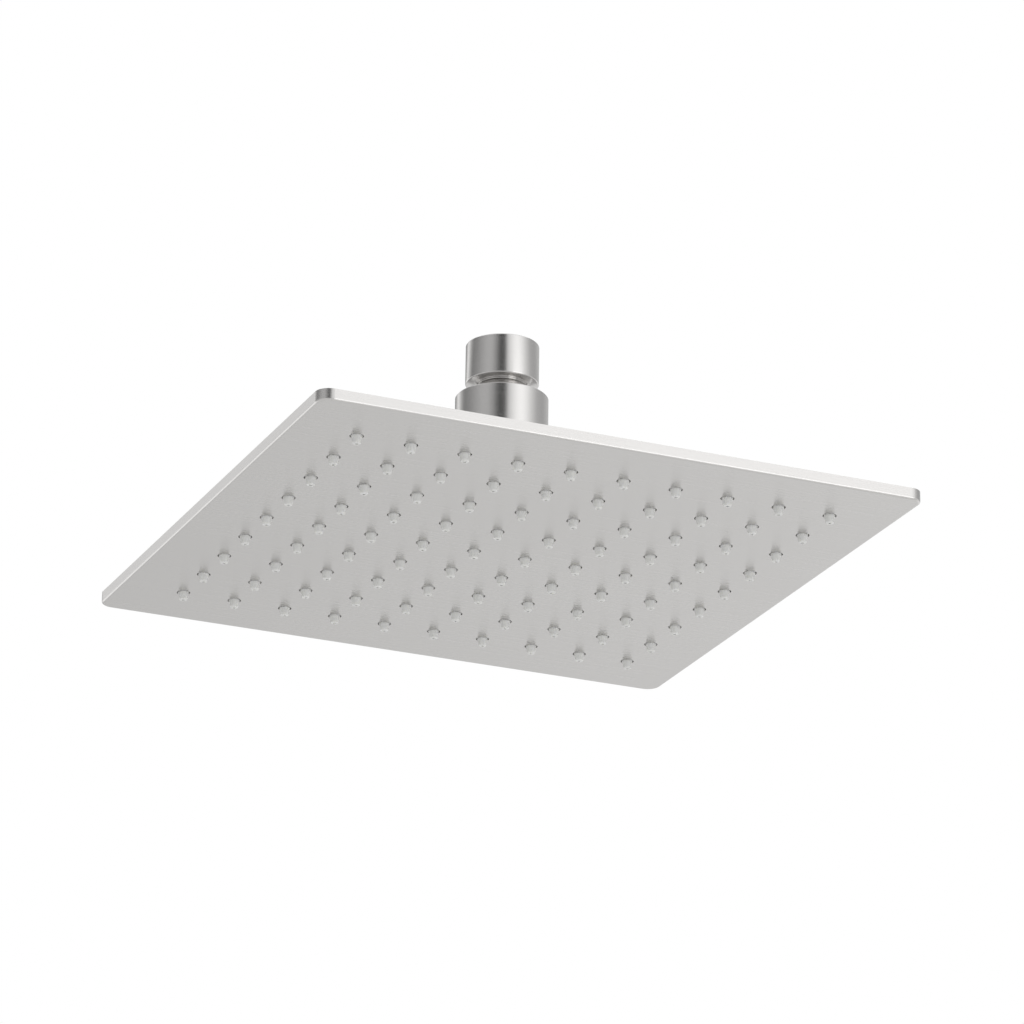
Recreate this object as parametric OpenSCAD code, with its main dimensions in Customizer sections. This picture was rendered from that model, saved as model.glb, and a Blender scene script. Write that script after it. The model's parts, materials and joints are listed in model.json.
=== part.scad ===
// Square shower head on a ball joint. The spray face points down and the inlet points up.
// The origin is under the middle of the head, at the level of the nozzle tips. Sizes are in millimetres.

/* [Head] */
// Side of the square head
head_w = 200; // [170:5:260]
// Corner radius of the head, seen from below
corner_r = 4.5; // [3:0.5:12]
// Height of the folded rim above the spray face
rim_h = 3.7; // [3.4:0.1:6]
// Outside radius of the fold at the edge of the face
fold_r = 0.7; // [0.3:0.1:1.2]
// Thickness of both steel sheets
sheet_t = 0.8; // [0.6:0.05:1]

/* [Nozzles] */
// Columns of nozzles
nozzle_cols = 10; // [6:1:12]
// Rows of nozzles
nozzle_rows = 9; // [6:1:11]
// From the head's side to the first column
col_margin = 21; // [18:0.5:26]
// From the head's front edge to the first row
row_margin = 24; // [18:0.5:26]
// Diameter of the holes in the face
hole_d = 4.4; // [4.2:0.1:6]
// Diameter of a nozzle where it leaves the face
nozzle_base_d = 3.5; // [3.2:0.1:4]
// Diameter of a nozzle at its tip
nozzle_tip_d = 2.7; // [2.2:0.1:3.1]
// Radius of the round edge at a nozzle's tip
nozzle_edge_r = 0.6; // [0.3:0.05:0.8]
// How far the nozzles stand out of the face
nozzle_out = 2.6; // [2:0.1:5]
// Diameter of the jet opening in the tip
jet_d = 0.9; // [0.5:0.1:1.2]
// Thickness of a nozzle's rubber wall at the face
nozzle_wall = 0.7; // [0.5:0.05:0.9]
// Thickness of the rubber mat behind the face
mat_t = 1.2; // [0.8:0.1:1.6]
// How far the mat reaches past the outer nozzles
mat_border = 5; // [4:0.5:6]

/* [Nozzle plate] */
// Thickness of the plate that holds the mat down
plate_t = 2.2; // [1.8:0.1:3]
// Diameter of the feed hole over each nozzle
feed_d = 3.4; // [2.6:0.1:4]
// Height of the stiffening ribs
rib_h = 1.8; // [1:0.1:2.2]
// Width of the stiffening ribs
rib_w = 1.2; // [0.8:0.1:1.6]
// Diameter of the studs that hold the plate
stud_d = 3; // [2.5:0.1:3.5]
// Width across the flats of the stud nuts
stud_nut_w = 5.5; // [5.5:0.1:6.5]
// Height of the stud nuts
stud_nut_h = 2.4; // [1.8:0.1:3]
// How far the studs stand out of their nuts
stud_past = 1.2; // [0.8:0.1:1.6]

/* [Back cover] */
// Width of the flat flange round the cover, from the head's side
flange_w = 6.5; // [4:0.5:9]
// Width of the curved border between the flange and the flat top
slope_w = 39.5; // [30:0.5:42]
// Height of the cover's flat top above the spray face
crown_h = 15; // [13:0.5:18]
// How far the flange lies below the top of the rim
flange_drop = 0.2; // [0:0.05:0.4]

/* [Inlet boss] */
// Diameter of the boss's welded foot
foot_d = 44; // [38:1:54]
// Thickness of the boss's foot
foot_t = 3; // [2:0.1:4]
// Diameter of the spigot that centres the boss in the cover
spigot_d = 29; // [24:0.5:32]
// Diameter of the waterway through the boss
water_d = 13; // [10:0.5:15]
// Width across the two spanner flats
flats_w = 27; // [26:0.1:30]
// Height of the spanner flats
flats_h = 7; // [5:0.5:8]
// Length of the boss's thread for the collar
boss_thread_h = 9.8; // [8:0.1:10.6]

/* [Ball joint] */
// Height of the inlet's mouth above the spray face
inlet_h = 71.5; // [69:0.5:90]
// Diameter of the ball
ball_d = 24.8; // [24.2:0.1:25]
// Diameter of the ball's neck
neck_d = 15.8; // [15.4:0.1:16]
// From the underside of the inlet nut down to the ball's centre
ball_drop = 10; // [9.8:0.1:11]
// Open space between the collar and the inlet nut
joint_gap = 4.8; // [4.4:0.1:5.6]
// Diameter of the collar
collar_d = 30; // [29.4:0.1:34]
// Height of the collar
collar_h = 20.9; // [20.4:0.1:22]
// Thickness of the collar's top lip
lip_t = 1.2; // [0.8:0.1:1.4]
// Diameter of the thread between the collar and the boss
joint_thread_d = 26.6; // [26.4:0.1:27.4]
// Height of the ring between the collar and the ball
slip_ring_h = 5.7; // [4:0.1:6]
// Bore of the boss's cup, where the ball's seat lies
cup_d = 22.8; // [22.4:0.1:23.2]
// Depth of the seat below the ball's centre
seat_depth = 13.6; // [13.4:0.1:14.2]
// Angle from straight down at which the seal meets the ball
seal_angle = 42; // [40:1:44]
// Thickness of the round seal under the ball
seal_d = 1.8; // [1.4:0.1:2]
// Thickness of the round seal outside the seat
seat_seal_d = 1.5; // [1.2:0.1:1.6]
// Bore through the ball
ball_bore_d = 8.4; // [6:0.2:9]

/* [Inlet nut] */
// Diameter of the inlet nut
nut_d = 23.7; // [23.2:0.1:26]
// Height of the inlet nut
nut_h = 13.4; // [13:0.1:16]
// Thickness of the nut's floor, which carries the stem
nut_floor_t = 2; // [1.6:0.1:2.4]
// Minor diameter of the inlet thread
thread_d = 18.6; // [18.4:0.1:18.8]
// Diameter of the groove that the thread runs out into
relief_d = 20.6; // [20:0.1:20.8]
// Thickness of the slip washer on the nut's floor
slip_washer_t = 0.5; // [0.4:0.05:0.8]
// Thickness of the wire of the retaining ring
ring_wire_d = 1.2; // [1:0.1:1.4]
// Thickness of the inlet washer
washer_t = 2; // [1.6:0.1:2.4]

/* [Flow regulator] */
// Diameter of the regulator's pocket in the stem
pocket_d = 13; // [12.6:0.1:13.2]
// Depth of the regulator's pocket
pocket_h = 4.6; // [4.4:0.1:5]
// Thickness of the filter screen
screen_t = 0.4; // [0.3:0.05:0.6]
// Diameter of the openings in the filter screen
mesh_d = 0.9; // [0.7:0.1:1]
// Rings of openings in the filter screen
mesh_rings = 4; // [3:1:4]

/* [Hidden] */

// Clearances: parts that turn on each other, parts that only lie in each other, seals in their grooves
run_fit = 0.05;
loose_fit = 0.1;
seal_fit = 0.02;
// Cuts past a face, and joined pieces into each other
cut = 1;
overlap = 0.1;

// Levels above the spray face
mat_z = sheet_t;
plate_z = mat_z + mat_t;
plate_top = plate_z + plate_t;
stud_top = plate_top + stud_nut_h + stud_past;
flange_z = rim_h - flange_drop - sheet_t;
nut_z = inlet_h - nut_h;
ball_z = nut_z - ball_drop;
collar_top = nut_z - joint_gap;
collar_z = collar_top - collar_h;

// Small widths and heights in the joint: the stem over its wire groove, the play round the ball in the
// collar, the flat ring under the ball, and the seat's edge over its seal's groove
stem_lip = 0.5;
bore_play = 0.6;
ball_flat_w = 1;
seat_lip = 0.65;

// Levels of the joint, counted from the ball's centre
lip_z = collar_top - lip_t - ball_z;
shoulder_z = collar_z - ball_z;
boss_top = shoulder_z + boss_thread_h;
washer_z = ball_drop + nut_floor_t;
wire_z = washer_z + slip_washer_t + ring_wire_d / 2 + run_fit;
stem_top = wire_z + ring_wire_d / 2 + stem_lip;
pocket_z = stem_top - pocket_h;
nut_top = ball_drop + nut_h;
thread_z = stem_top + washer_t + loose_fit;

// Sizes that follow from the ones above
ball_r = ball_d / 2;
neck_r = neck_d / 2;
collar_bore_r = ball_r + bore_play;
joint_thread_r = joint_thread_d / 2;
cup_r = cup_d / 2;
seat_r = cup_r - run_fit;
seat_hole_r = ball_r / 2;
ball_flat_r = ball_bore_d / 2 + ball_flat_w;
slip_ring_r = collar_bore_r - run_fit;
seal_reach = ball_r + run_fit + seal_d / 2;
seat_seal_r = cup_r - seat_seal_d / 2;
seat_seal_z = seat_seal_d / 2 + seat_lip - seat_depth;
wire_r = neck_r + ring_wire_d / 4;
regulator_r = pocket_d / 2 - loose_fit;
regulator_h = pocket_h - screen_t;
regulator_seal_d = 1.2;
regulator_ring_d = 1.8;
regulator_floor_t = 1.2;
post_r = 1.6;
thread_chamfer = 0.7;

// Nozzle grid, and the gaps between its columns and rows where the studs stand
col_pitch = (head_w - 2 * col_margin) / (nozzle_cols - 1);
row_pitch = (head_w - 2 * row_margin) / (nozzle_rows - 1);
nozzle_places = [for (c = [0 : nozzle_cols - 1], r = [0 : nozzle_rows - 1])
    [(c - (nozzle_cols - 1) / 2) * col_pitch, (r - (nozzle_rows - 1) / 2) * row_pitch]];
last_gap_x = nozzle_cols - 2;
last_gap_y = nozzle_rows - 2;
third_y = round(last_gap_y / 3);
stud_gaps_x = [0, floor(last_gap_x / 2), last_gap_x];
stud_gaps_y = [0, third_y, last_gap_y - third_y, last_gap_y];
stud_places = [for (i = stud_gaps_x, j = stud_gaps_y)
    [(i + 1 - nozzle_cols / 2) * col_pitch, (j + 1 - nozzle_rows / 2) * row_pitch]];
mat_w = head_w - 2 * col_margin + 2 * mat_border;
mat_l = head_w - 2 * row_margin + 2 * mat_border;

// Colours
steel = [0.76, 0.75, 0.74];
bright_steel = [0.82, 0.81, 0.80];
rubber = [0.68, 0.68, 0.67];
black_rubber = [0.12, 0.12, 0.12];
white_plastic = [0.90, 0.90, 0.88];

// Square with rounded corners, in the plane
module rounded_rect(w, l, r) {
    square([w - 2 * r, l], center = true);
    square([w, l - 2 * r], center = true);
    for (x = [-1, 1], y = [-1, 1])
        translate([x * (w / 2 - r), y * (l / 2 - r)]) circle(r, $fn = 48);
}

// Sweeps an edge profile round the head: straight sides and quarter turns at the corners.
// The profile's x = 0 is the axis of the corners, and x = corner_r is the outside.
module sweep_border() {
    side = head_w / 2 - corner_r;
    for (a = [0 : 90 : 270])
        rotate(a) {
            translate([side, side, 0]) rotate([90, 0, 0]) linear_extrude(2 * side) children();
            translate([side, side, 0]) rotate_extrude(angle = 90, $fn = 64) children();
        }
}

// Section of the folded rim, with its round outer fold
module rim_profile() {
    difference() {
        union() {
            square([corner_r - fold_r, rim_h]);
            translate([0, fold_r]) square([corner_r, rim_h - fold_r]);
            translate([corner_r - fold_r, fold_r]) circle(fold_r, $fn = 32);
        }
        translate([-cut, sheet_t]) square([corner_r - sheet_t + cut, rim_h]);
    }
}

// Folded steel tray with the nozzle holes: the visible face of the head
module face_plate() {
    inside_w = head_w - 2 * corner_r;
    color(steel) translate([0, 0, nozzle_out]) difference() {
        union() {
            sweep_border() rim_profile();
            linear_extrude(sheet_t) square(inside_w, center = true);
        }
        for (p = nozzle_places)
            translate([p.x, p.y, -cut]) cylinder(h = sheet_t + 2 * cut, d = hole_d, $fn = 32);
    }
}

// One nozzle from the face down to its tip, which has a rounded edge
module nozzle_body() {
    edge_r = nozzle_edge_r;
    base_r = nozzle_base_d / 2;
    tip_r = nozzle_tip_d / 2;
    rotate_extrude($fn = 32) {
        polygon([[0, sheet_t], [base_r, sheet_t], [base_r, 0], [tip_r, edge_r - nozzle_out],
                 [0, edge_r - nozzle_out]]);
        translate([0, -nozzle_out]) square([tip_r - edge_r, edge_r + overlap]);
        intersection() {
            translate([tip_r - edge_r, edge_r - nozzle_out]) circle(edge_r, $fn = 24);
            translate([0, -nozzle_out]) square([tip_r, edge_r]);
        }
    }
}

// Water channel of one nozzle: a taper down to the jet opening
module nozzle_channel() {
    land = 0.8;
    wide_r = nozzle_base_d / 2 - nozzle_wall;
    rotate_extrude($fn = 24)
        polygon([[0, plate_z + cut], [wide_r, plate_z + cut], [wide_r, 0],
                 [jet_d / 2, land - nozzle_out], [jet_d / 2, -nozzle_out - cut],
                 [0, -nozzle_out - cut]]);
}

// Moulded silicone mat: all the nozzles in one piece, with holes for the studs
module nozzle_mat() {
    color(rubber) translate([0, 0, nozzle_out]) difference() {
        union() {
            translate([0, 0, mat_z]) linear_extrude(mat_t) rounded_rect(mat_w, mat_l, mat_border);
            for (p = nozzle_places) translate([p.x, p.y, 0]) nozzle_body();
        }
        for (p = nozzle_places) translate([p.x, p.y, 0]) nozzle_channel();
        for (p = stud_places)
            translate([p.x, p.y, 0]) cylinder(h = plate_z + cut, d = stud_d + 2 * loose_fit, $fn = 24);
    }
}

// Moulded plate that presses the mat on the face, ribbed between the rows
module nozzle_plate() {
    funnel_h = 0.8;
    color(white_plastic) translate([0, 0, nozzle_out + plate_z]) difference() {
        union() {
            linear_extrude(plate_t) rounded_rect(mat_w, mat_l, mat_border);
            for (y = [third_y, last_gap_y - third_y])
                translate([-mat_w / 2 + mat_border, (y + 1 - nozzle_rows / 2) * row_pitch - rib_w / 2, 0])
                    cube([mat_w - 2 * mat_border, rib_w, plate_t + rib_h]);
            for (x = [1, last_gap_x - 1])
                translate([(x + 1 - nozzle_cols / 2) * col_pitch - rib_w / 2, -mat_l / 2 + mat_border, 0])
                    cube([rib_w, mat_l - 2 * mat_border, plate_t + rib_h]);
            for (p = stud_places) translate([p.x, p.y, 0]) cylinder(h = plate_t, r = stud_nut_w, $fn = 32);
        }
        for (p = nozzle_places) translate([p.x, p.y, 0]) {
            translate([0, 0, -cut]) cylinder(h = plate_t + 2 * cut, d = feed_d, $fn = 24);
            translate([0, 0, plate_t - funnel_h])
                cylinder(h = funnel_h + seal_fit, d1 = feed_d, d2 = feed_d + 2 * funnel_h, $fn = 24);
        }
        for (p = stud_places) translate([p.x, p.y, 0]) {
            translate([0, 0, -cut]) cylinder(h = plate_t + 2 * cut, d = stud_d + 2 * loose_fit, $fn = 24);
            translate([0, 0, plate_t]) cylinder(h = rib_h + cut, r = stud_nut_w * 0.75, $fn = 32);
        }
    }
}

// Studs welded to the inside of the face
module weld_studs() {
    point = 0.4;
    color(bright_steel) translate([0, 0, nozzle_out])
        for (p = stud_places) translate([p.x, p.y, 0]) {
            translate([0, 0, sheet_t]) cylinder(h = stud_top - sheet_t - point, d = stud_d, $fn = 24);
            translate([0, 0, stud_top - point])
                cylinder(h = point, d1 = stud_d, d2 = stud_d - 2 * point, $fn = 24);
        }
}

// Hexagon nuts on the studs
module stud_nuts() {
    color(bright_steel) translate([0, 0, nozzle_out + plate_top])
        for (p = stud_places) translate([p.x, p.y, 0]) difference() {
            cylinder(h = stud_nut_h, d = stud_nut_w / cos(30), $fn = 6);
            translate([0, 0, -cut])
                cylinder(h = stud_nut_h + 2 * cut, d = stud_d + 2 * run_fit, $fn = 24);
        }
}

// Arch of the cover across the head: a flat top with a round shoulder on each side
module cover_arch(inset) {
    foot = head_w / 2 - flange_w;
    top_half = foot - slope_w;
    rise = crown_h - rim_h + flange_drop;
    shoulder_r = (slope_w * slope_w + rise * rise) / (2 * rise);
    top = crown_h - inset;
    intersection() {
        union() {
            translate([-top_half, flange_z]) square([2 * top_half, top - flange_z]);
            for (side = [-1, 1])
                translate([side * top_half, crown_h - shoulder_r]) circle(shoulder_r - inset, $fn = 180);
        }
        translate([-foot, flange_z]) square([2 * foot, top - flange_z]);
    }
}

// Solid under the arch, the same from all four sides, with a hip at each corner
module cover_form(inset) {
    reach = head_w / 2;
    intersection() {
        translate([0, reach, 0]) rotate([90, 0, 0]) linear_extrude(2 * reach) cover_arch(inset);
        rotate(90) translate([0, reach, 0]) rotate([90, 0, 0]) linear_extrude(2 * reach) cover_arch(inset);
    }
}

// Pressed steel cover, welded into the rim, with the hole for the boss
module back_cover() {
    cover_w = head_w - 2 * sheet_t - 2 * run_fit;
    color(steel) translate([0, 0, nozzle_out]) difference() {
        union() {
            translate([0, 0, flange_z]) linear_extrude(sheet_t)
                rounded_rect(cover_w, cover_w, corner_r - sheet_t - run_fit);
            cover_form(0);
        }
        cover_form(sheet_t);
        cylinder(h = crown_h + cut, d = spigot_d + 2 * run_fit, $fn = 96);
    }
}

// Turned boss on the cover: foot, spigot, spanner flats, thread for the collar and cup for the seat
module inlet_boss() {
    body_r = collar_d / 2;
    foot_z = crown_h - ball_z;
    fillet_r = 2;
    spigot_h = sheet_t + 1.2;
    undercut = 0.8;
    undercut_h = 1;
    edge = 0.5;
    color(bright_steel) translate([0, 0, nozzle_out + ball_z]) difference() {
        rotate_extrude($fn = 96) difference() {
            union() {
                translate([0, foot_z - spigot_h]) square([spigot_d / 2, spigot_h + foot_t]);
                polygon([[0, foot_z], [foot_d / 2, foot_z], [foot_d / 2, foot_z + foot_t - edge],
                         [foot_d / 2 - edge, foot_z + foot_t], [0, foot_z + foot_t]]);
                translate([0, foot_z]) square([body_r, shoulder_z - foot_z]);
                translate([0, foot_z + foot_t]) square([body_r + fillet_r, fillet_r]);
                translate([0, shoulder_z - cut])
                    polygon([[0, 0], [joint_thread_r - run_fit, 0],
                             [joint_thread_r - run_fit, cut + boss_thread_h - edge],
                             [joint_thread_r - run_fit - edge, cut + boss_thread_h],
                             [0, cut + boss_thread_h]]);
            }
            translate([body_r + fillet_r, foot_z + foot_t + fillet_r]) circle(fillet_r, $fn = 48);
            translate([joint_thread_r - undercut, shoulder_z]) square([undercut + cut, undercut_h]);
            translate([0, -seat_depth]) square([cup_r, seat_depth]);
            translate([0, foot_z - spigot_h - cut]) square([water_d / 2, ball_z]);
        }
        for (side = [-1, 1])
            translate([side * (flats_w / 2 + body_r / 2), 0, shoulder_z - flats_h / 2 - cut / 2])
                cube([body_r, collar_d, flats_h - cut], center = true);
    }
}

// Plastic seat under the ball, with grooves for both round seals
module ball_seat() {
    seat_top = boss_top - 0.2;
    color(white_plastic) translate([0, 0, nozzle_out + ball_z]) rotate_extrude($fn = 96) difference() {
        translate([seat_hole_r, -seat_depth]) square([seat_r - seat_hole_r, seat_depth + seat_top]);
        circle(ball_r + run_fit, $fn = 128);
        translate([seal_reach * sin(seal_angle), -seal_reach * cos(seal_angle)])
            circle(seal_d / 2 + seal_fit, $fn = 32);
        translate([seat_seal_r, seat_seal_z]) circle(seat_seal_d / 2 + seal_fit, $fn = 32);
    }
}

// Round rubber seal: a ring of the given thickness
module round_seal(r, z, d) {
    translate([0, 0, nozzle_out + ball_z + z])
        rotate_extrude($fn = 96) translate([r, 0]) circle(d = d, $fn = 32);
}

// Seal between the seat and the boss's cup
module seat_seal() {
    color(black_rubber) round_seal(seat_seal_r, seat_seal_z, seat_seal_d);
}

// Seal between the seat and the ball
module ball_seal() {
    color(black_rubber) round_seal(seal_reach * sin(seal_angle), -seal_reach * cos(seal_angle), seal_d);
}

// Plastic ring under the collar's lip, on which the ball turns
module slip_ring() {
    color(white_plastic) translate([0, 0, nozzle_out + ball_z]) rotate_extrude($fn = 96) difference() {
        translate([ball_r / 2, lip_z - slip_ring_h])
            square([slip_ring_r - ball_r / 2, slip_ring_h - run_fit]);
        circle(ball_r + run_fit, $fn = 128);
    }
}

// Collar that screws on the boss and holds the ball
module collar() {
    edge = 0.3;
    collar_r = collar_d / 2;
    top = collar_top - ball_z;
    thread_end = boss_top + 0.6;
    color(steel) translate([0, 0, nozzle_out + ball_z]) rotate_extrude($fn = 96) difference() {
        polygon([[ball_r / 2, shoulder_z], [collar_r - edge, shoulder_z], [collar_r, shoulder_z + edge],
                 [collar_r, top - edge], [collar_r - edge, top], [ball_r / 2, top]]);
        translate([0, shoulder_z - cut]) square([joint_thread_r, thread_end - shoulder_z + cut]);
        translate([0, shoulder_z]) square([collar_bore_r, lip_z - shoulder_z]);
        circle(ball_r + 0.2, $fn = 128);
    }
}

// Ball with its neck, turned in one piece, with the pocket for the flow regulator
module ball_stem() {
    ball_cut = sqrt(ball_r * ball_r - ball_flat_r * ball_flat_r);
    edge = 0.3;
    color(bright_steel) translate([0, 0, nozzle_out + ball_z]) rotate_extrude($fn = 96) difference() {
        union() {
            intersection() {
                circle(ball_r, $fn = 128);
                translate([0, -ball_cut]) square([ball_r, ball_cut + ball_r]);
            }
            polygon([[0, 0], [neck_r, 0], [neck_r, stem_top - edge], [neck_r - edge, stem_top],
                     [0, stem_top]]);
        }
        translate([0, -ball_r]) square([ball_bore_d / 2, ball_r + stem_top + cut]);
        translate([0, pocket_z]) square([pocket_d / 2, pocket_h + cut]);
        translate([wire_r, wire_z]) circle(ring_wire_d / 2 + seal_fit, $fn = 32);
    }
}

// Open wire ring that keeps the nut on the stem
module retaining_ring() {
    opening = 24;
    color(bright_steel) translate([0, 0, nozzle_out + ball_z + wire_z]) rotate(opening / 2)
        rotate_extrude(angle = 360 - opening, $fn = 96)
            translate([wire_r, 0]) circle(d = ring_wire_d, $fn = 32);
}

// Plastic washer between the nut's floor and the retaining ring
module slip_washer() {
    color(white_plastic) translate([0, 0, nozzle_out + ball_z + washer_z]) difference() {
        cylinder(h = slip_washer_t, r = relief_d / 2 - 4 * loose_fit, $fn = 64);
        translate([0, 0, -cut]) cylinder(h = slip_washer_t + 2 * cut, r = neck_r + run_fit, $fn = 64);
    }
}

// Round nut with the female inlet thread, free to turn on the stem
module inlet_nut() {
    edge = 0.35;
    nut_r = nut_d / 2;
    thread_r = thread_d / 2;
    color(steel) translate([0, 0, nozzle_out + ball_z]) rotate_extrude($fn = 96) difference() {
        polygon([[0, ball_drop], [nut_r - edge, ball_drop], [nut_r, ball_drop + edge],
                 [nut_r, nut_top - edge], [nut_r - edge, nut_top], [0, nut_top]]);
        translate([0, ball_drop - cut]) square([neck_r + run_fit, nut_floor_t + 2 * cut]);
        translate([0, washer_z]) square([relief_d / 2, thread_z - washer_z]);
        translate([0, washer_z]) square([thread_r, nut_top - washer_z + cut]);
        polygon([[0, nut_top - thread_chamfer - thread_r], [thread_r + thread_chamfer + cut, nut_top + cut],
                 [0, nut_top + cut]]);
    }
}

// Flat rubber washer that seals the inlet
module inlet_washer() {
    color(black_rubber) translate([0, 0, nozzle_out + ball_z + stem_top]) difference() {
        cylinder(h = washer_t, r = thread_d / 2 - loose_fit, $fn = 64);
        translate([0, 0, -cut]) cylinder(h = washer_t + 2 * cut, d = pocket_d + 2 * loose_fit, $fn = 64);
    }
}

// Body of the flow regulator: a cup with a centre post and six ports
module regulator_body() {
    wall = 1.3;
    port_r = 0.9;
    post_drop = 0.4;
    port_place = (post_r + regulator_r - wall) / 2;
    color(white_plastic) translate([0, 0, nozzle_out + ball_z + pocket_z]) difference() {
        rotate_extrude($fn = 64) difference() {
            union() {
                square([regulator_r, regulator_floor_t]);
                square([post_r, regulator_h - post_drop]);
                translate([regulator_r - wall, 0]) square([wall, regulator_h]);
            }
            translate([pocket_d / 2 - regulator_seal_d / 2, regulator_h / 2])
                circle(regulator_seal_d / 2 + seal_fit, $fn = 32);
        }
        for (a = [0 : 60 : 300])
            rotate(a) translate([port_place, 0, -cut])
                cylinder(h = regulator_floor_t + 2 * cut, r = port_r, $fn = 24);
    }
}

// Soft ring round the post, which narrows the ports as the pressure rises
module regulator_ring() {
    color(black_rubber) round_seal(post_r + regulator_ring_d / 2 + run_fit,
                                   pocket_z + regulator_floor_t + regulator_ring_d / 2, regulator_ring_d);
}

// Seal between the regulator and its pocket
module regulator_seal() {
    color(black_rubber) round_seal((pocket_d - regulator_seal_d) / 2, pocket_z + regulator_h / 2,
                                   regulator_seal_d);
}

// Perforated screen that keeps grit out of the regulator
module filter_screen() {
    color(bright_steel) translate([0, 0, nozzle_out + ball_z + stem_top - screen_t]) difference() {
        cylinder(h = screen_t, r = regulator_r, $fn = 64);
        translate([0, 0, -cut]) cylinder(h = screen_t + 2 * cut, d = mesh_d, $fn = 16);
        for (ring = [1 : mesh_rings], k = [0 : 6 * ring - 1])
            rotate(k * 60 / ring) translate([ring * mesh_d * 1.45, 0, -cut])
                cylinder(h = screen_t + 2 * cut, d = mesh_d, $fn = 16);
    }
}

face_plate();
nozzle_mat();
nozzle_plate();
weld_studs();
stud_nuts();
back_cover();
inlet_boss();
ball_seat();
seat_seal();
ball_seal();
slip_ring();
collar();
ball_stem();
retaining_ring();
slip_washer();
inlet_nut();
inlet_washer();
regulator_body();
regulator_ring();
regulator_seal();
filter_screen();
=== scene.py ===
import json
import math

import bmesh
import bpy
from mathutils import Matrix, Vector

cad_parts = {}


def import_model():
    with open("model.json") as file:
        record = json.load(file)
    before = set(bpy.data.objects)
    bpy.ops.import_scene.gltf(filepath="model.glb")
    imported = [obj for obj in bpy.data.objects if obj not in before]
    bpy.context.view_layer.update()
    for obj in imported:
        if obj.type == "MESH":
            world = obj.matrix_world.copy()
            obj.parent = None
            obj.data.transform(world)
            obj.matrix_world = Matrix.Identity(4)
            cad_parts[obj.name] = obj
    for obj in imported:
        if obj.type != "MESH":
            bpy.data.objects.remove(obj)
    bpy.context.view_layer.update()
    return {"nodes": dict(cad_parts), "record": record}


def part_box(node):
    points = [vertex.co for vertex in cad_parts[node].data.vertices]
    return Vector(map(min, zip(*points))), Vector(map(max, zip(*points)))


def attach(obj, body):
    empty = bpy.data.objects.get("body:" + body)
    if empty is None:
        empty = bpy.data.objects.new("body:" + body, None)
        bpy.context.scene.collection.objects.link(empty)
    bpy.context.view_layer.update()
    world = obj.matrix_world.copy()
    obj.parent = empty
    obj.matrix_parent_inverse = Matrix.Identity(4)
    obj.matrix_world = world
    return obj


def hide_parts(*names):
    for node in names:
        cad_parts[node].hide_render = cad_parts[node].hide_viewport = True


MM = 0.001

# Camera: its place in metres, and its turn from +Y towards +X, its rise and its roll in degrees
CAM_PLACE = (-0.6110, -1.4505, -0.5812)
CAM_HEADING = 22.98
CAM_RISE = 20.82
CAM_ROLL = 0.795
CAM_LENS = 185.9
CAM_SENSOR = 36.0

# Studio, in metres
FLOOR_Z = -1.9
FLOOR_R = 14.0
WORLD_LIGHT = 0.9

# Upright ring of cards round the head, which only metal shows: its brightness at places counted in
# degrees to the right of the camera, as seen from the head
RING_LEVELS = [
    (-180, 0.55), (-158, 0.28), (-147, 0.60), (-134, 1.10), (-121, 0.60), (-106, 0.26), (-85, 0.34),
    (-62, 0.48), (-48, 0.55), (-34, 0.54), (-21, 0.37), (-15, 0.23), (-6, 0.08), (4, 0.08), (10, 0.22),
    (16, 0.70), (23, 0.95), (36, 1.20), (50, 1.32), (64, 1.14), (80, 0.82), (97, 0.54), (119, 0.47),
    (152, 0.60), (180, 0.55),
]
RING_R = 2.4
RING_HIGH = 2.6

# Ring of cards under it, which shows in the spray face
LOW_LEVELS = [
    (-180, 0.87), (-156, 0.62), (-144, 1.30), (-124, 1.30), (-110, 0.70), (-60, 0.80), (0, 0.75),
    (60, 0.75), (120, 0.95), (150, 1.15), (180, 0.87),
]
RING_LOW = -1.8

# Tall soft lamp, front right of the head
LAMP_TURN = 49
LAMP_R = 2.0
LAMP_Z = -0.35
LAMP_W = 1.2
LAMP_H = 1.2
LAMP_LEVEL = 1.2

# Brush lines: scale of their noise along and across them, per metre
BRUSH_ALONG = 25
BRUSH_ACROSS = 2600

# Inlet nut, in millimetres: its hole and floor, the groove behind the thread, and a half-inch pipe thread
NUT_HOLE_R = 7.95
NUT_FLOOR = 2.0
RELIEF_R = 10.3
THREAD_FROM = 6.65
THREAD_R = 9.3
THREAD_PITCH = 1.814
THREAD_DEPTH = 0.95
MOUTH_R = 10.1
NUT_EDGE = 0.4

# Back cover, in millimetres: the flange and slope, counted from the sides, and the sheet
FLANGE_W = 6.5
SLOPE_W = 39.5
SHEET_T = 0.8
COVER_HOLE_R = 14.55
CORNER_IN = 3.65
HIP_SOFT = 1.6
FOOT_SOFT = 0.5

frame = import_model()

BODY_OF = {}
for body, nodes in frame["record"]["behaviour"]["bodies"].items():
    for node_name in nodes:
        BODY_OF[node_name] = body


def new_material(name):
    """An empty node material with its Principled shader."""
    material = bpy.data.materials.new(name)
    material.use_nodes = True
    shader = material.node_tree.nodes["Principled BSDF"]
    return material, material.node_tree, shader


def add(tree, kind, **values):
    """A node, with its plain settings and its sockets' values."""
    node = tree.nodes.new(kind)
    for key, value in values.items():
        if hasattr(node, key):
            setattr(node, key, value)
        else:
            node.inputs[key].default_value = value
    return node


def scaled_coords(tree, scale, turn=(0, 0, 0)):
    """Object coordinates stretched by a scale, per metre."""
    coords = add(tree, "ShaderNodeTexCoord")
    mapping = add(tree, "ShaderNodeMapping")
    mapping.inputs["Scale"].default_value = scale
    mapping.inputs["Rotation"].default_value = turn
    tree.links.new(coords.outputs["Object"], mapping.inputs["Vector"])
    return mapping.outputs["Vector"]


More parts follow.
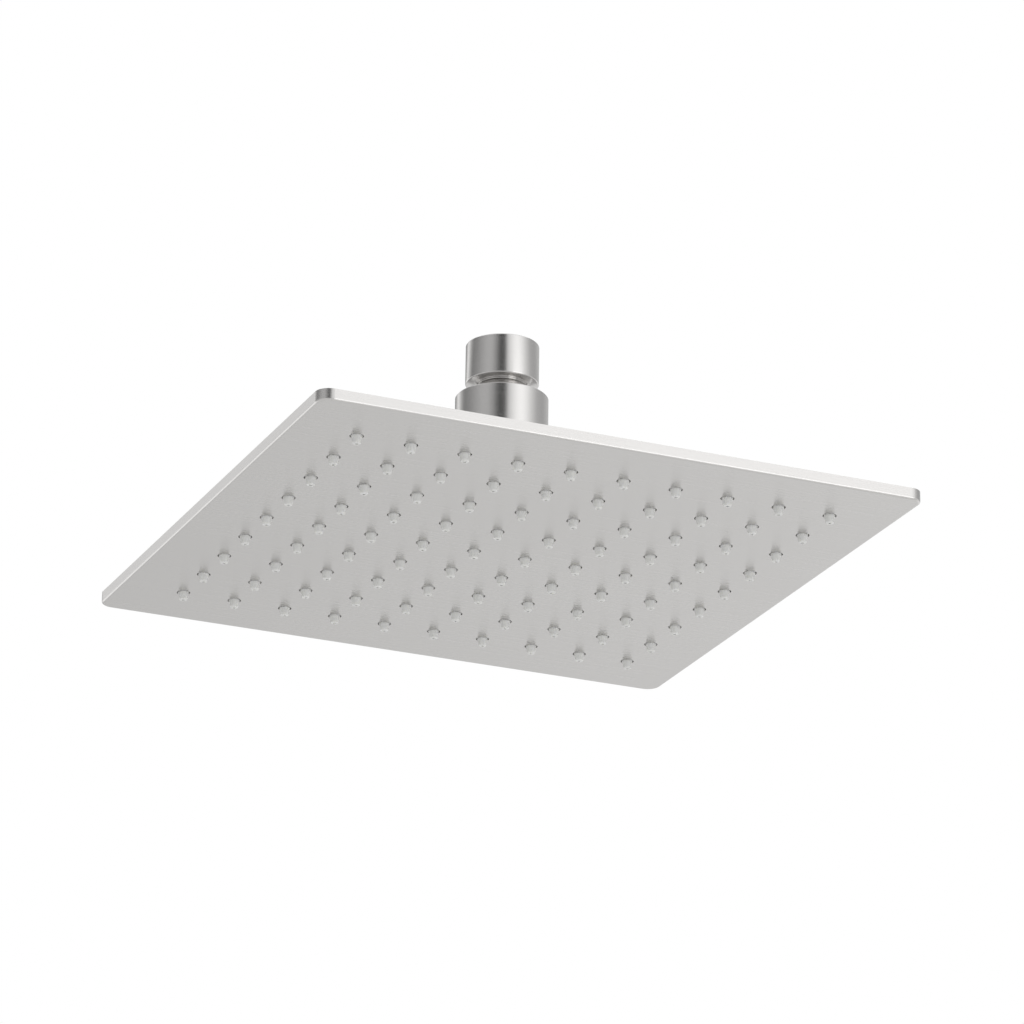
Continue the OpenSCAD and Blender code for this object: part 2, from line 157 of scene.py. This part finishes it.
def noise(tree, vector, scale, detail=3.0, rough=0.5):
    """Noise on the given coordinates."""
    node = add(tree, "ShaderNodeTexNoise")
    node.inputs["Scale"].default_value = scale
    node.inputs["Detail"].default_value = detail
    node.inputs["Roughness"].default_value = rough
    tree.links.new(vector, node.inputs["Vector"])
    return node.outputs["Fac"]


def spread(tree, fac, low, high):
    """Maps noise to the range from low to high."""
    node = add(tree, "ShaderNodeMapRange")
    node.inputs["From Min"].default_value = 0.3
    node.inputs["From Max"].default_value = 0.7
    node.inputs["To Min"].default_value = low
    node.inputs["To Max"].default_value = high
    tree.links.new(fac, node.inputs["Value"])
    return node.outputs["Result"]


def tinted(tree, fac, dark, light):
    """Colour between dark and light by a factor."""
    node = add(tree, "ShaderNodeMix", data_type="RGBA")
    node.inputs["A"].default_value = (*dark, 1)
    node.inputs["B"].default_value = (*light, 1)
    tree.links.new(fac, node.inputs["Factor"])
    return node.outputs["Result"]


def bump(tree, shader, height, distance, strength=1.0):
    """Fine relief, with its height in metres."""
    node = add(tree, "ShaderNodeBump")
    node.inputs["Distance"].default_value = distance
    node.inputs["Strength"].default_value = strength
    tree.links.new(height, node.inputs["Height"])
    tree.links.new(node.outputs["Normal"], shader.inputs["Normal"])


def facing_x(tree, coords):
    """How far a surface faces along X, from 0 to 1."""
    parts = add(tree, "ShaderNodeSeparateXYZ")
    tree.links.new(coords.outputs["Normal"], parts.inputs[0])
    side = add(tree, "ShaderNodeMath", operation="ABSOLUTE")
    tree.links.new(parts.outputs["X"], side.inputs[0])
    return side


def brush_lines(tree, along, across):
    """Noise drawn out along X, and along Y on the sides that face X."""
    side = facing_x(tree, add(tree, "ShaderNodeTexCoord"))
    mix = add(tree, "ShaderNodeMix", data_type="FLOAT")
    tree.links.new(side.outputs[0], mix.inputs["Factor"])
    on_face = noise(tree, scaled_coords(tree, (along, across, across)), 1.0, 4.0, 0.6)
    on_side = noise(tree, scaled_coords(tree, (across, along, across)), 1.0, 4.0, 0.6)
    tree.links.new(on_face, mix.inputs["A"])
    tree.links.new(on_side, mix.inputs["B"])
    return mix.outputs["Result"]


def across_brushing(tree):
    """Direction across the brush lines, which run along X, and along Y on the sides that face X."""
    coords = add(tree, "ShaderNodeTexCoord")
    side = facing_x(tree, coords)
    rest = add(tree, "ShaderNodeMath", operation="SUBTRACT")
    rest.inputs[0].default_value = 1.0
    tree.links.new(side.outputs[0], rest.inputs[1])
    lines = add(tree, "ShaderNodeCombineXYZ")
    tree.links.new(rest.outputs[0], lines.inputs["X"])
    tree.links.new(side.outputs[0], lines.inputs["Y"])
    across = add(tree, "ShaderNodeVectorMath", operation="CROSS_PRODUCT")
    tree.links.new(coords.outputs["Normal"], across.inputs[0])
    tree.links.new(lines.outputs[0], across.inputs[1])
    turned = add(tree, "ShaderNodeVectorTransform", vector_type="VECTOR", convert_from="OBJECT",
                 convert_to="WORLD")
    tree.links.new(across.outputs[0], turned.inputs[0])
    return turned.outputs[0]


def brushed_steel(name, colour, rough, depth, anisotropy):
    """Steel with straight, very fine brush lines."""
    material, tree, shader = new_material(name)
    shader.inputs["Metallic"].default_value = 1.0
    shader.inputs["Anisotropic"].default_value = anisotropy
    tree.links.new(across_brushing(tree), shader.inputs["Tangent"])
    lines = brush_lines(tree, BRUSH_ALONG, BRUSH_ACROSS)
    broad = noise(tree, scaled_coords(tree, (9, 9, 9)), 1.0, 2.0)
    dark = [c * 0.96 for c in colour]
    light = [min(1, c * 1.04) for c in colour]
    tree.links.new(tinted(tree, lines, dark, light), shader.inputs["Base Color"])
    both = add(tree, "ShaderNodeMath", operation="ADD")
    tree.links.new(spread(tree, lines, rough - 0.03, rough + 0.03), both.inputs[0])
    tree.links.new(spread(tree, broad, -0.015, 0.015), both.inputs[1])
    tree.links.new(both.outputs[0], shader.inputs["Roughness"])
    bump(tree, shader, lines, depth)
    return material


def turned_steel(name, colour, rough, depth, anisotropy):
    """Steel turned on a lathe: fine rings about the Z axis, which stretch its highlights upright."""
    material, tree, shader = new_material(name)
    shader.inputs["Metallic"].default_value = 1.0
    shader.inputs["Anisotropic"].default_value = anisotropy
    shader.inputs["Anisotropic Rotation"].default_value = 0.25
    tangent = add(tree, "ShaderNodeTangent", direction_type="RADIAL", axis="Z")
    tree.links.new(tangent.outputs["Tangent"], shader.inputs["Tangent"])
    rings = noise(tree, scaled_coords(tree, (12, 12, 5200)), 1.0, 3.0, 0.6)
    bands = noise(tree, scaled_coords(tree, (6, 6, 700)), 1.0, 2.0)
    dark = [c * 0.93 for c in colour]
    light = [min(1, c * 1.04) for c in colour]
    tree.links.new(tinted(tree, rings, dark, light), shader.inputs["Base Color"])
    both = add(tree, "ShaderNodeMath", operation="ADD")
    tree.links.new(spread(tree, rings, rough - 0.04, rough + 0.04), both.inputs[0])
    tree.links.new(spread(tree, bands, -0.02, 0.02), both.inputs[1])
    tree.links.new(both.outputs[0], shader.inputs["Roughness"])
    bump(tree, shader, rings, depth)
    return material


def silicone(name):
    """Grey, slightly clear rubber of the nozzles."""
    material, tree, shader = new_material(name)
    cloud = noise(tree, scaled_coords(tree, (60, 60, 60)), 1.0, 3.0)
    grit = noise(tree, scaled_coords(tree, (2500, 2500, 2500)), 1.0, 2.0)
    tree.links.new(tinted(tree, cloud, (0.66, 0.66, 0.65), (0.72, 0.72, 0.71)), shader.inputs["Base Color"])
    tree.links.new(spread(tree, grit, 0.38, 0.48), shader.inputs["Roughness"])
    shader.inputs["Subsurface Weight"].default_value = 0.35
    shader.inputs["Subsurface Radius"].default_value = (0.0010, 0.0010, 0.0009)
    shader.inputs["Subsurface Scale"].default_value = 1.0
    bump(tree, shader, grit, 0.00001)
    return material


def plastic(name, colour, rough, grain=1800):
    """Moulded plastic or rubber with a fine matt grain."""
    material, tree, shader = new_material(name)
    grit = noise(tree, scaled_coords(tree, (grain, grain, grain)), 1.0, 2.0)
    dark = [c * 0.95 for c in colour]
    tree.links.new(tinted(tree, grit, dark, colour), shader.inputs["Base Color"])
    tree.links.new(spread(tree, grit, rough - 0.05, rough + 0.05), shader.inputs["Roughness"])
    bump(tree, shader, grit, 0.00002)
    return material


def make_materials():
    """All finishes, by the record's slot."""
    return {
        "face_steel": brushed_steel("face_steel", (0.615, 0.605, 0.595), 0.29, 0.000003, 0.8),
        "cover_steel": brushed_steel("cover_steel", (0.61, 0.605, 0.60), 0.34, 0.000003, 0.6),
        "turned_steel": turned_steel("turned_steel", (0.68, 0.67, 0.66), 0.22, 0.000004, 0.7),
        "ball_steel": turned_steel("ball_steel", (0.70, 0.69, 0.68), 0.14, 0.000001, 0.3),
        "boss_steel": turned_steel("boss_steel", (0.62, 0.61, 0.60), 0.26, 0.000004, 0.6),
        "bright_steel": turned_steel("bright_steel", (0.68, 0.67, 0.66), 0.22, 0.000002, 0.0),
        "silicone": silicone("silicone"),
        "black_rubber": plastic("black_rubber", (0.03, 0.03, 0.03), 0.55),
        "white_plastic": plastic("white_plastic", (0.80, 0.80, 0.77), 0.35),
    }


def dress_nodes(materials):
    """Gives each CAD node the finish of its slot."""
    for part in frame["record"]["subparts"]:
        mesh = frame["nodes"][part["node"]].data
        mesh.materials.clear()
        mesh.materials.append(materials[part["material_slot"]])


def mesh_piece(name, verts, faces, node, material, smooth_angle=40):
    """A closed mesh piece, given in metres, that rides on the body of a CAD node and has its slot."""
    mesh = bpy.data.meshes.new(name)
    mesh.from_pydata(verts, [], faces)
    mesh.validate()
    mesh.materials.append(material)
    obj = bpy.data.objects.new(name, mesh)
    bpy.context.scene.collection.objects.link(obj)
    bm = bmesh.new()
    bm.from_mesh(mesh)
    bmesh.ops.recalc_face_normals(bm, faces=bm.faces)
    for face in bm.faces:
        face.smooth = True
    for edge in bm.edges:
        if len(edge.link_faces) == 2 and edge.calc_face_angle() > math.radians(smooth_angle):
            edge.smooth = False
    bm.to_mesh(mesh)
    bm.free()
    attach(obj, BODY_OF[node])
    return obj


def ring_faces(turns, points):
    """Quads of a closed section that is carried round a closed ring of turns."""
    faces = []
    for i in range(turns):
        for j in range(points):
            a, b = i * points, (i + 1) % turns * points
            k = (j + 1) % points
            faces.append((a + j, b + j, b + k, a + k))
    return faces


def arc(cx, cz, r, start, end, steps):
    """Points of an arc in a section, from start to end in degrees."""
    turns = [math.radians(start + (end - start) * i / steps) for i in range(steps + 1)]
    return [(cx + r * math.cos(t), cz + r * math.sin(t)) for t in turns]


def thread_groove(z, turn):
    """Depth of the thread's groove at a height and a turn, from 0 to 1, with rounded crests."""
    phase = (z / THREAD_PITCH - turn / (2 * math.pi)) % 1
    wave = 2 * abs(phase - 0.5)
    return wave * wave * (3 - 2 * wave)


def inlet_nut(materials):
    """Round inlet nut with its real helical thread, a little worn round its edges."""
    low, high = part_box("inlet_nut")
    outer, z0, z1 = high.x / MM, low.z / MM, high.z / MM
    turns, steps = 180, 56
    thread_low = z0 + THREAD_FROM
    floor_z = z0 + NUT_FLOOR
    lead = MOUTH_R - THREAD_R
    fixed = [(NUT_HOLE_R + 0.2, z0), *arc(outer - NUT_EDGE, z0 + NUT_EDGE, NUT_EDGE, -90, 0, 5),
             *arc(outer - NUT_EDGE, z1 - NUT_EDGE, NUT_EDGE, 0, 90, 5), (MOUTH_R + 0.25, z1)]
    inner = [(RELIEF_R, thread_low - 0.3), (RELIEF_R, floor_z), (NUT_HOLE_R + 0.2, floor_z),
             (NUT_HOLE_R, floor_z - 0.2), (NUT_HOLE_R, z0 + 0.2)]
    verts = []
    for i in range(turns):
        turn = 2 * math.pi * i / turns
        loop = list(fixed)
        for k in range(steps + 1):
            z = z1 - 0.15 - (z1 - 0.15 - thread_low) * k / steps
            r = THREAD_R + THREAD_DEPTH * thread_groove(z, turn)
            loop.append((max(r, MOUTH_R - (z1 - z) * lead / 0.7), z))
        loop += inner
        verts += [(r * MM * math.cos(turn), r * MM * math.sin(turn), z * MM) for r, z in loop]
    piece = mesh_piece("inlet_nut_turned", verts, ring_faces(turns, len(verts) // turns), "inlet_nut",
                       materials["turned_steel"])
    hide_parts("inlet_nut")


def soft_min(a, b, width):
    """The lower of two values, with a round turn of the given width between them."""
    h = max(width - abs(a - b), 0) / width
    return min(a, b) - h * h * width / 4


def cover_height(x, y, half, flange_z, crown_z):
    """Height of the pressed cover: four arched sides with soft hips, and the flat flange round them."""
    foot = half - FLANGE_W
    top_half = foot - SLOPE_W
    rise = crown_z - flange_z
    radius = (SLOPE_W ** 2 + rise ** 2) / (2 * rise)

    def shoulder(distance):
        past = max(abs(distance) - top_half, 0)
        return crown_z - radius + math.sqrt(max(radius ** 2 - past ** 2, 0))

    arched = soft_min(shoulder(x), shoulder(y), HIP_SOFT)
    return -soft_min(-arched, -flange_z, FOOT_SOFT)


def rounded_square(turn, half, r):
    """Distance from the middle to a rounded square, along a direction."""
    c, s = abs(math.cos(turn)), abs(math.sin(turn))
    if c < s:
        c, s = s, c
    reach = half / c
    if reach * s <= half - r:
        return reach
    inner = half - r
    along = inner * (c + s)
    return along + math.sqrt(max(along ** 2 - 2 * inner ** 2 + r ** 2, 0))


def cover_turns(half):
    """Directions of the cover's section lines, closer together round its corners."""
    bend = math.atan((half - CORNER_IN) / half)
    quarter = [bend * i / 28 for i in range(28)]
    quarter += [bend + (math.pi / 2 - 2 * bend) * i / 12 for i in range(12)]
    quarter += [math.pi / 2 - bend + bend * i / 28 for i in range(28)]
    return [turn + side * math.pi / 2 for side in range(4) for turn in quarter]


def cover_steps(turn, half, count):
    """Distances from the hole to the edge, closer together near the foot of the slope."""
    end = rounded_square(turn, half, CORNER_IN)
    foot = rounded_square(turn, half - FLANGE_W + 1, 0.01)
    main_count = count - 12
    inner = [COVER_HOLE_R + (foot - 3 - COVER_HOLE_R) * i / main_count for i in range(main_count)]
    outer = [foot - 3 + 4 * i / 8 for i in range(8)]
    last = [foot + 1 + (end - foot - 1) * i / 4 for i in range(5)]
    return inner + outer + last


def back_cover(materials):
    """Pressed cover with soft hips, in the sheet's thickness, with a round hole for the boss."""
    low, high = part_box("back_cover")
    half, crown_z = high.x / MM, high.z / MM
    flange_z = low.z / MM + SHEET_T
    count = 64
    turns = cover_turns(half)
    verts = []
    for turn in turns:
        top, under = [], []
        for d in cover_steps(turn, half, count):
            x, y = d * math.cos(turn), d * math.sin(turn)
            z = cover_height(x, y, half, flange_z, crown_z)
            step = 0.05
            dx = cover_height(x + step, y, half, flange_z, crown_z) - z
            dy = cover_height(x, y + step, half, flange_z, crown_z) - z
            lean = math.sqrt(1 + (dx / step) ** 2 + (dy / step) ** 2)
            top.append((x * MM, y * MM, z * MM))
            under.append((x * MM, y * MM, (z - SHEET_T * lean) * MM))
        verts += top + under[::-1]
    faces = ring_faces(len(turns), len(verts) // len(turns))
    piece = mesh_piece("back_cover_pressed", verts, faces, "back_cover", materials["cover_steel"])
    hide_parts("back_cover")


def boss_weld(materials):
    """Narrow weld between the boss's foot and the cover, smoothed down to a fillet."""
    foot = 22.0
    leg = 0.7
    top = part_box("back_cover")[1].z / MM
    turns = 180
    section = [(foot - 0.05, top - 0.05), (foot + leg, top - 0.05),
               *arc(foot + leg, top + leg, leg, -90, -180, 6), (foot - 0.05, top + leg)]
    verts = []
    for i in range(turns):
        turn = 2 * math.pi * i / turns
        verts += [(r * MM * math.cos(turn), r * MM * math.sin(turn), z * MM) for r, z in section]
    mesh_piece("boss_weld", verts, ring_faces(turns, len(section)), "inlet_boss", materials["boss_steel"])


def world():
    """White all round for the camera and for what metal and clear things show, plain light for the rest."""
    scene_world = bpy.data.worlds.new("studio")
    bpy.context.scene.world = scene_world
    scene_world.use_nodes = True
    tree = scene_world.node_tree
    shown = tree.nodes["Background"]
    shown.inputs["Color"].default_value = (1, 1, 1, 1)
    shown.inputs["Strength"].default_value = 1.0
    light = add(tree, "ShaderNodeBackground")
    light.inputs["Color"].default_value = (1, 1, 1, 1)
    light.inputs["Strength"].default_value = WORLD_LIGHT
    path = add(tree, "ShaderNodeLightPath")
    camera_or_metal = add(tree, "ShaderNodeMath", operation="MAXIMUM")
    or_glass = add(tree, "ShaderNodeMath", operation="MAXIMUM")
    tree.links.new(path.outputs["Is Camera Ray"], camera_or_metal.inputs[0])
    tree.links.new(path.outputs["Is Glossy Ray"], camera_or_metal.inputs[1])
    tree.links.new(camera_or_metal.outputs[0], or_glass.inputs[0])
    tree.links.new(path.outputs["Is Transmission Ray"], or_glass.inputs[1])
    mix = add(tree, "ShaderNodeMixShader")
    tree.links.new(or_glass.outputs[0], mix.inputs[0])
    tree.links.new(light.outputs[0], mix.inputs[1])
    tree.links.new(shown.outputs[0], mix.inputs[2])
    tree.links.new(mix.outputs[0], tree.nodes["World Output"].inputs["Surface"])


def heading(degrees):
    """Turn in radians of a place so many degrees to the right of the camera, as seen from the head."""
    return math.radians(270 - CAM_HEADING + degrees)


def ring_level(given, degrees):
    """Brightness of a ring of cards at a place, between the given levels."""
    for (a, low), (b, high) in zip(given, given[1:]):
        if a <= degrees <= b:
            return low + (high - low) * (degrees - a) / (b - a)
    return given[-1][1]


def card_ring(name, given, low, high):
    """Upright ring of bright and dark cards that only metal shows."""
    steps = 180
    verts, levels = [], []
    for i in range(steps + 1):
        degrees = -180 + 360 * i / steps
        x, y = RING_R * math.cos(heading(degrees)), RING_R * math.sin(heading(degrees))
        verts += [(x, y, low), (x, y, high)]
        levels += [ring_level(given, degrees)] * 2
    faces = [(2 * i, 2 * i + 2, 2 * i + 3, 2 * i + 1) for i in range(steps)]
    mesh = bpy.data.meshes.new(name)
    mesh.from_pydata(verts, [], faces)
    shade = mesh.attributes.new("level", "FLOAT", "POINT")
    shade.data.foreach_set("value", levels)
    material, tree, shader = new_material(name)
    shader.inputs["Base Color"].default_value = (0, 0, 0, 1)
    shader.inputs["Specular IOR Level"].default_value = 0
    shader.inputs["Emission Color"].default_value = (1, 1, 1, 1)
    level = add(tree, "ShaderNodeAttribute", attribute_name="level")
    tree.links.new(level.outputs["Fac"], shader.inputs["Emission Strength"])
    mesh.materials.append(material)
    obj = bpy.data.objects.new(name, mesh)
    bpy.context.scene.collection.objects.link(obj)
    obj.visible_camera = False
    obj.visible_diffuse = False
    obj.visible_transmission = False
    obj.visible_shadow = False


def soft_lamp():
    """Tall soft lamp at the front right."""
    data = bpy.data.lights.new("soft_lamp", "AREA")
    data.shape = "RECTANGLE"
    data.size = LAMP_W
    data.size_y = LAMP_H
    data.energy = LAMP_LEVEL * math.pi * LAMP_W * LAMP_H
    obj = bpy.data.objects.new("soft_lamp", data)
    turn = heading(LAMP_TURN)
    place = Vector((LAMP_R * math.cos(turn), LAMP_R * math.sin(turn), LAMP_Z))
    obj.matrix_world = Matrix.Translation(place) @ (-place).to_track_quat("-Z", "Y").to_matrix().to_4x4()
    bpy.context.scene.collection.objects.link(obj)


def floor():
    """Pale floor, far below the head, as the camera looks up at it."""
    mesh = bpy.data.meshes.new("floor")
    bm = bmesh.new()
    bmesh.ops.create_circle(bm, cap_ends=True, radius=FLOOR_R, segments=64)
    bm.to_mesh(mesh)
    bm.free()
    obj = bpy.data.objects.new("floor", mesh)
    obj.location.z = FLOOR_Z
    bpy.context.scene.collection.objects.link(obj)
    material, tree, shader = new_material("floor")
    shader.inputs["Base Color"].default_value = (0.86, 0.86, 0.85, 1)
    shader.inputs["Roughness"].default_value = 0.9
    mesh.materials.append(material)


def camera():
    """The photograph's camera, below the head and looking up at it."""
    data = bpy.data.cameras.new("camera")
    data.lens = CAM_LENS
    data.sensor_width = CAM_SENSOR
    data.clip_start = 0.05
    data.clip_end = 60
    obj = bpy.data.objects.new("camera", data)
    turn = Matrix.Rotation(-math.radians(CAM_HEADING), 4, "Z")
    rise = Matrix.Rotation(math.radians(90 + CAM_RISE), 4, "X")
    roll = Matrix.Rotation(math.radians(CAM_ROLL), 4, "Z")
    obj.matrix_world = Matrix.Translation(CAM_PLACE) @ turn @ rise @ roll
    bpy.context.scene.collection.objects.link(obj)
    bpy.context.scene.camera = obj


def main():
    camera()
    world()
    floor()
    card_ring("card_ring", RING_LEVELS, 0, RING_HIGH)
    card_ring("low_ring", LOW_LEVELS, RING_LOW, 0)
    soft_lamp()
    materials = make_materials()
    dress_nodes(materials)
    inlet_nut(materials)
    back_cover(materials)
    boss_weld(materials)
    bpy.context.scene.view_settings.view_transform = "Standard"


main()
